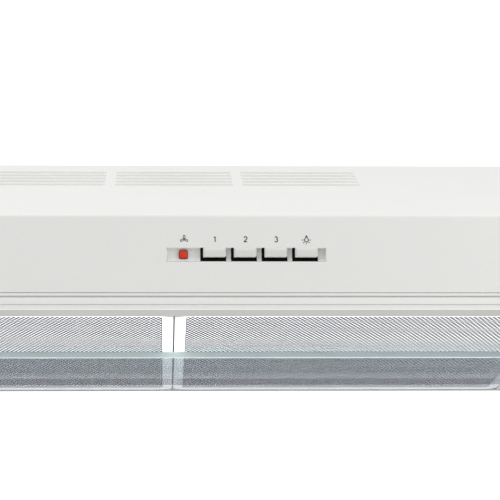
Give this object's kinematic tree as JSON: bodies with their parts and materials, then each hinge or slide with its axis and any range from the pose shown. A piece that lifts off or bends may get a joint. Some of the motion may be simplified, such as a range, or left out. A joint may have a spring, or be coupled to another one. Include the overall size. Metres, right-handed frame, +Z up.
{
  "type": "under cabinet range hood",
  "caption": "Slim white cooker hood for under a wall cabinet, with push buttons, pull-out glass visor, mesh grease filters, blower and duct collar.",
  "frame": {"origin": "on the top face, midway between fascia and wall, where the hood is screwed to the cabinet", "axes": "+Z up, the front faces -Y, +X to the right seen from the front"},
  "size_m": [0.6, 0.484, 0.1948],
  "materials": {
    "enamel": "satin white stove enamel",
    "white_trim": "white moulded plastic",
    "button_grey": "pale grey moulded plastic, semi-gloss",
    "red_lens": "translucent orange-red lens",
    "dark_plastic": "black moulded plastic, fine grain",
    "grey_plastic": "mid grey moulded plastic",
    "clear_glass": "toughened float glass, green edge",
    "bulb_glass": "clear lamp glass",
    "socket_ceramic": "off-white lamp socket",
    "filter_frame": "pale anodised aluminium frame",
    "filter_mesh": "pressed aluminium mesh",
    "zinc_steel": "zinc plated sheet",
    "motor_steel": "machined steel",
    "aluminium_can": "drawn aluminium can"
  },
  "bodies": {
    "housing": {"blower_screw_1": "zinc_steel", "blower_screw_2": "zinc_steel", "blower_screw_3": "zinc_steel", "blower_screw_4": "zinc_steel", "cable_gland": "dark_plastic", "canopy_shell": "enamel", "control_bezel": "white_trim", "duct_collar": "dark_plastic", "fan_deck": "zinc_steel", "fan_motor": "motor_steel", "filter_mesh_left": "filter_mesh", "filter_mesh_right": "filter_mesh", "filter_tray_left": "filter_frame", "filter_tray_right": "filter_frame", "front_trim_rail": "white_trim", "indicator_lens": "red_lens", "inlet_ring": "dark_plastic", "lamp_bulb_left": "bulb_glass", "lamp_bulb_right": "bulb_glass", "lamp_holder_left": "socket_ceramic", "lamp_holder_right": "socket_ceramic", "motor_bracket": "zinc_steel", "motor_capacitor": "aluminium_can", "mounting_bracket_left": "zinc_steel", "mounting_bracket_right": "zinc_steel", "rear_panel": "enamel", "rear_underside_panel": "enamel", "scroll_casing": "dark_plastic", "side_panel_left": "enamel", "side_panel_right": "enamel", "switch_block": "dark_plastic", "terminal_box": "dark_plastic", "terminal_box_lid": "dark_plastic", "visor_rail_left": "zinc_steel", "visor_rail_right": "zinc_steel"},
    "rotor": {"impeller_wheel": "grey_plastic", "motor_shaft": "motor_steel"},
    "visor": {"visor_glass": "clear_glass", "visor_carriage_left": "dark_plastic", "visor_carriage_right": "dark_plastic"},
    "button_1": {"button_speed_1": "button_grey"},
    "button_2": {"button_speed_2": "button_grey"},
    "button_3": {"button_speed_3": "button_grey"},
    "button_light": {"button_lamp": "button_grey"},
    "catch_left": {"filter_latch_left": "zinc_steel"},
    "catch_right": {"filter_latch_right": "zinc_steel"},
    "flap_front": {"backdraft_flap_front": "grey_plastic"},
    "flap_rear": {"backdraft_flap_rear": "grey_plastic"},
    "diverter": {"diverter_flap": "grey_plastic", "diverter_lever": "white_trim"}
  },
  "joints": [
    {"name": "press_speed_1", "type": "slide", "parent": "housing", "child": "button_1", "axis": [0, 1, 0], "range_m": [0, 0.003], "stiffness_N_per_m": 400},
    {"name": "press_speed_2", "type": "slide", "parent": "housing", "child": "button_2", "axis": [0, 1, 0], "range_m": [0, 0.003], "stiffness_N_per_m": 400},
    {"name": "press_speed_3", "type": "slide", "parent": "housing", "child": "button_3", "axis": [0, 1, 0], "range_m": [0, 0.003], "stiffness_N_per_m": 400},
    {"name": "press_lamp", "type": "slide", "parent": "housing", "child": "button_light", "axis": [0, 1, 0], "range_m": [0, 0.003], "stiffness_N_per_m": 400},
    {"name": "visor_slide", "type": "slide", "parent": "housing", "child": "visor", "axis": [0, -1, 0], "range_m": [0, 0.22]},
    {"name": "catch_left_slide", "type": "slide", "parent": "housing", "child": "catch_left", "axis": [1, 0, 0], "range_m": [0, 0.005], "stiffness_N_per_m": 300},
    {"name": "catch_right_slide", "type": "slide", "parent": "housing", "child": "catch_right", "axis": [-1, 0, 0], "range_m": [0, 0.005], "stiffness_N_per_m": 300},
    {"name": "fan_spin", "type": "hinge", "parent": "housing", "child": "rotor", "pos_m": [-0.075, 0.005, -0.064], "axis": [0, 0, 1], "continuous": true},
    {"name": "flap_front_lift", "type": "hinge", "parent": "housing", "child": "flap_front", "pos_m": [0, 0.156, 0.0053], "axis": [-1, 0, 0], "range_deg": [0, 75]},
    {"name": "flap_rear_lift", "type": "hinge", "parent": "housing", "child": "flap_rear", "pos_m": [0, 0.166, 0.0053], "axis": [1, 0, 0], "range_deg": [0, 75]},
    {"name": "diverter_turn", "type": "hinge", "parent": "housing", "child": "diverter", "pos_m": [0.0435, 0.161, -0.0115], "axis": [0, 1, 0], "range_deg": [0, 84]}
  ]
}
